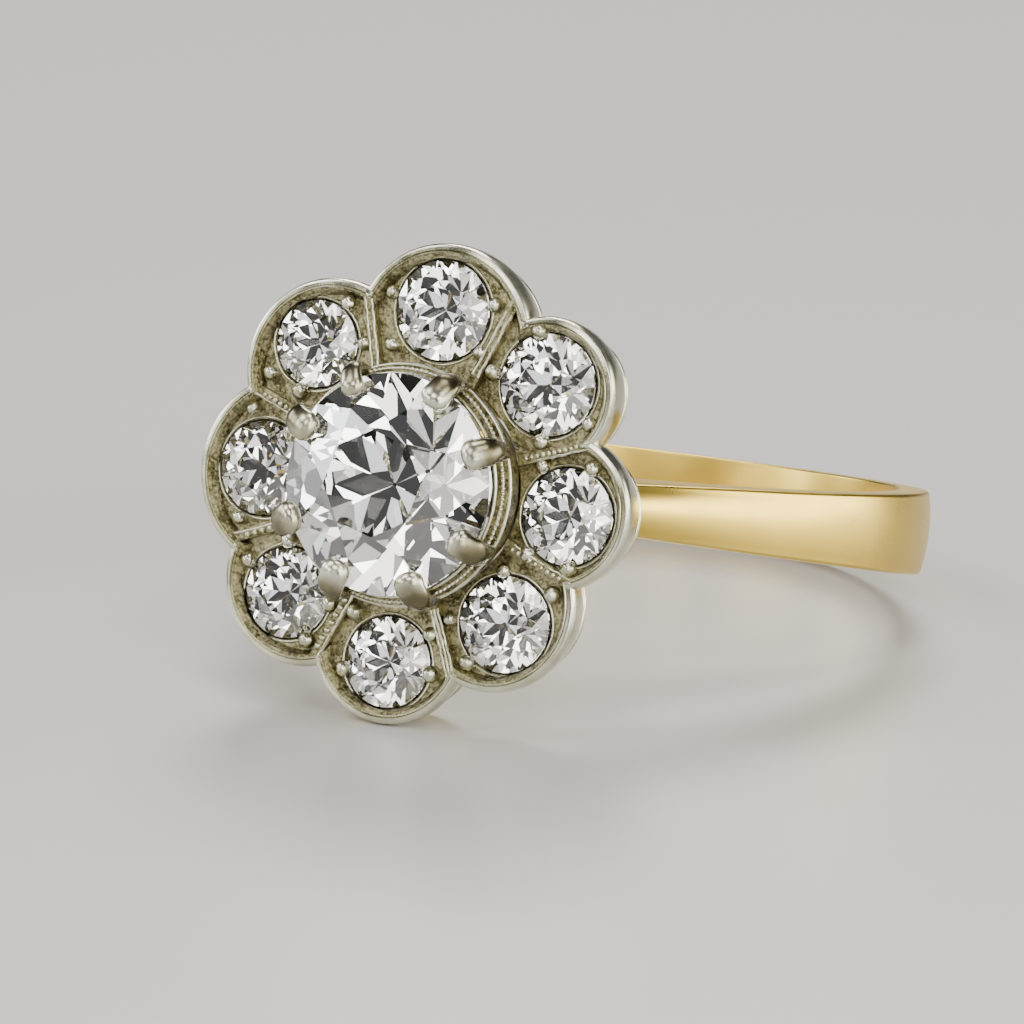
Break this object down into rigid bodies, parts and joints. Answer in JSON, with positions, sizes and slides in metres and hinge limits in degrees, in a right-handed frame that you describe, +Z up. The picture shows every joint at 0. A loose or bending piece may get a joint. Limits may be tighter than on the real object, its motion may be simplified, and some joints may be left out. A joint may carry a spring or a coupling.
{
  "type": "daisy cluster halo ring",
  "caption": "Daisy cluster halo ring: a round stone in claws inside a flower of bead-set petal stones, white-metal head on a plain tapered yellow-gold shank, lying on its side.",
  "frame": {"origin": "middle of the finger hole, halfway across the shank", "axes": "+Z up as the ring lies on its side, -Y towards the head, which faces forward and a little up, +X to the right seen from the front"},
  "size_m": [0.019, 0.0248, 0.013],
  "materials": {
    "yellow_gold": "polished, with soft wear",
    "white_metal": "polished rims, dull in the recesses",
    "diamond": "faceted and polished"
  },
  "bodies": {
    "root": {"shank": "yellow_gold", "petal_setting": "white_metal", "claw_collet": "white_metal", "centre_stone": "diamond", "petal_stone_1": "diamond", "petal_stone_2": "diamond", "petal_stone_3": "diamond", "petal_stone_4": "diamond", "petal_stone_5": "diamond", "petal_stone_6": "diamond", "petal_stone_7": "diamond", "petal_stone_8": "diamond"}
  },
  "joints": []
}
